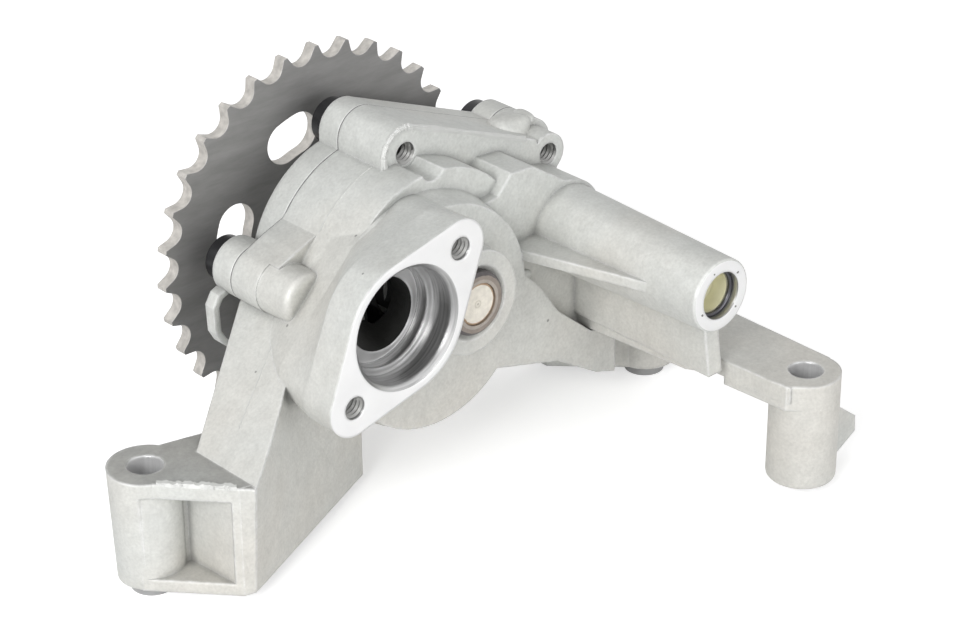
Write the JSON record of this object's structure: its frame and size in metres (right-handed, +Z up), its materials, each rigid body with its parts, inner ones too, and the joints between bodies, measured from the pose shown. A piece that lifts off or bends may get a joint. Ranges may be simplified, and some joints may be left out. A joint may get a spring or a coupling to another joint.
{
  "type": "engine oil pump",
  "caption": "Die-cast gerotor oil pump on three feet with a chain sprocket, an angled suction flange and a relief valve tube.",
  "frame": {"origin": "the left foot's bolt axis on the mounting face", "axes": "+Z up out of the mounting face, +Y along the shaft to the sprocket, +X to the right arm"},
  "size_m": [0.1523, 0.1097, 0.0889],
  "materials": {
    "cast": "die-cast, matte with machined faces",
    "bronze": "turned bearing bronze",
    "shaft_steel": "turned",
    "plug": "cream, matte",
    "sintered": "sintered steel, ground sides",
    "sprocket": "stamped, brushed",
    "black_steel": "black oxide",
    "pin_steel": "ground",
    "spring_steel": "drawn wire",
    "zinc": "pale yellow zinc"
  },
  "bodies": {
    "casing": {"pump_housing": "cast", "pump_cover": "cast", "front_bush": "bronze", "rear_bush": "bronze", "cover_bolts": "black_steel", "cover_dowels": "pin_steel", "relief_spring": "spring_steel", "relief_cup": "zinc", "relief_ring": "spring_steel", "left_sleeve": "pin_steel", "mid_sleeve": "pin_steel"},
    "shaft": {"drive_shaft": "shaft_steel", "shaft_end_plug": "plug", "inner_rotor": "sintered", "chain_sprocket": "sprocket", "sprocket_washer": "black_steel", "sprocket_bolt": "black_steel"},
    "ring": {"outer_rotor": "sintered"},
    "valve": {"relief_piston": "pin_steel"}
  },
  "joints": [
    {"name": "shaft_spin", "type": "hinge", "parent": "casing", "child": "shaft", "pos_m": [0.069, 0.0275, 0.0445], "axis": [0, 1, 0], "continuous": true},
    {"name": "ring_spin", "type": "hinge", "parent": "casing", "child": "ring", "pos_m": [0.069, 0.0075, 0.0426], "axis": [0, 1, 0], "continuous": true},
    {"name": "relief_slide", "type": "slide", "parent": "casing", "child": "valve", "axis": [0, -1, 0], "range_m": [0, 0.008], "stiffness_N_per_m": 400, "springref_m": -0.01, "deforming": ["relief_spring"]}
  ],
  "couplings": [
    {"joint": "ring_spin", "follows": "shaft_spin", "ratio": 0.85714}
  ]
}
